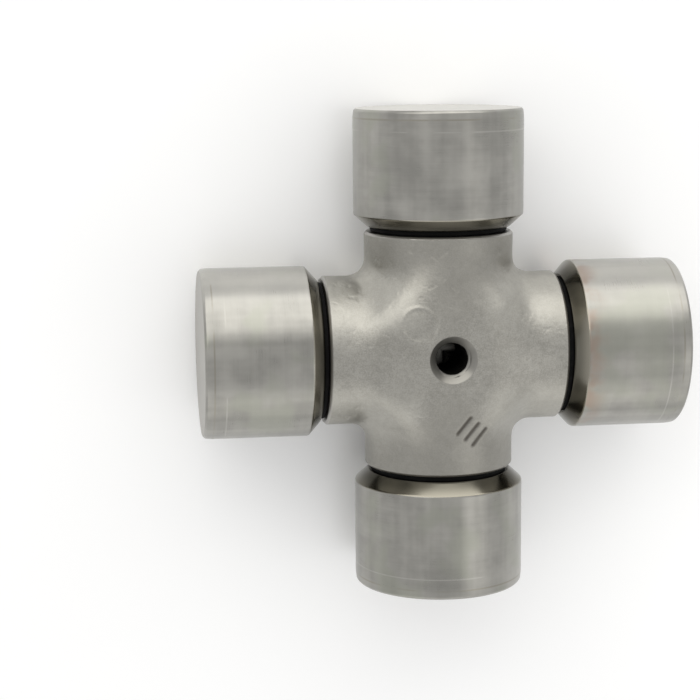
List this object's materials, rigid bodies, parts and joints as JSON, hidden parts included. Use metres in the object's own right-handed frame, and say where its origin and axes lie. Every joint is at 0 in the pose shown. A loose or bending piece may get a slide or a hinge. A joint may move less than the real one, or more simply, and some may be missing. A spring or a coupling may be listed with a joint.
{
  "type": "universal joint cross",
  "caption": "Forged universal joint cross whose trunnions carry closed needle bearing cups with lip seals, with a tapped grease port in the centre.",
  "frame": {"origin": "where the two arm axes cross, which is the centre of the bounding box", "axes": "+X and +Y along two neighbouring arms, +Z out of the grease port"},
  "size_m": [0.1076, 0.1076, 0.038],
  "materials": {
    "forged_steel": "shot-blasted forging",
    "ground_steel": "ground and hardened, bare",
    "seal_rubber": "moulded nitrile",
    "washer_steel": "stamped, bare",
    "thrust_nylon": "moulded",
    "needle_steel": "ground and lapped"
  },
  "bodies": {
    "cross": {"spider": "forged_steel"},
    "cup_east": {"bearing_cup_east": "ground_steel", "lip_seal_east": "seal_rubber", "needle_washer_east": "washer_steel", "thrust_washer_east": "thrust_nylon"},
    "needles_east": {"needle_rollers_east": "needle_steel"},
    "cup_north": {"bearing_cup_north": "ground_steel", "lip_seal_north": "seal_rubber", "needle_washer_north": "washer_steel", "thrust_washer_north": "thrust_nylon"},
    "needles_north": {"needle_rollers_north": "needle_steel"},
    "cup_west": {"bearing_cup_west": "ground_steel", "lip_seal_west": "seal_rubber", "needle_washer_west": "washer_steel", "thrust_washer_west": "thrust_nylon"},
    "needles_west": {"needle_rollers_west": "needle_steel"},
    "cup_south": {"bearing_cup_south": "ground_steel", "lip_seal_south": "seal_rubber", "needle_washer_south": "washer_steel", "thrust_washer_south": "thrust_nylon"},
    "needles_south": {"needle_rollers_south": "needle_steel"}
  },
  "joints": [
    {"name": "cup_east_turn", "type": "hinge", "parent": "cross", "child": "cup_east", "pos_m": [0.04083, 0, 0], "axis": [1, 0, 0], "continuous": true},
    {"name": "needles_east_orbit", "type": "hinge", "parent": "cross", "child": "needles_east", "pos_m": [0.04083, 0, 0], "axis": [1, 0, 0], "continuous": true},
    {"name": "cup_north_turn", "type": "hinge", "parent": "cross", "child": "cup_north", "pos_m": [0, 0.04083, 0], "axis": [0, 1, 0], "continuous": true},
    {"name": "needles_north_orbit", "type": "hinge", "parent": "cross", "child": "needles_north", "pos_m": [0, 0.04083, 0], "axis": [0, 1, 0], "continuous": true},
    {"name": "cup_west_turn", "type": "hinge", "parent": "cross", "child": "cup_west", "pos_m": [-0.04083, 0, 0], "axis": [-1, 0, 0], "continuous": true},
    {"name": "needles_west_orbit", "type": "hinge", "parent": "cross", "child": "needles_west", "pos_m": [-0.04083, 0, 0], "axis": [-1, 0, 0], "continuous": true},
    {"name": "cup_south_turn", "type": "hinge", "parent": "cross", "child": "cup_south", "pos_m": [0, -0.04083, 0], "axis": [0, -1, 0], "continuous": true},
    {"name": "needles_south_orbit", "type": "hinge", "parent": "cross", "child": "needles_south", "pos_m": [0, -0.04083, 0], "axis": [0, -1, 0], "continuous": true}
  ],
  "couplings": [
    {"joint": "needles_east_orbit", "follows": "cup_east_turn", "ratio": 0.56055},
    {"joint": "needles_north_orbit", "follows": "cup_north_turn", "ratio": 0.56055},
    {"joint": "needles_west_orbit", "follows": "cup_west_turn", "ratio": 0.56055},
    {"joint": "needles_south_orbit", "follows": "cup_south_turn", "ratio": 0.56055}
  ]
}
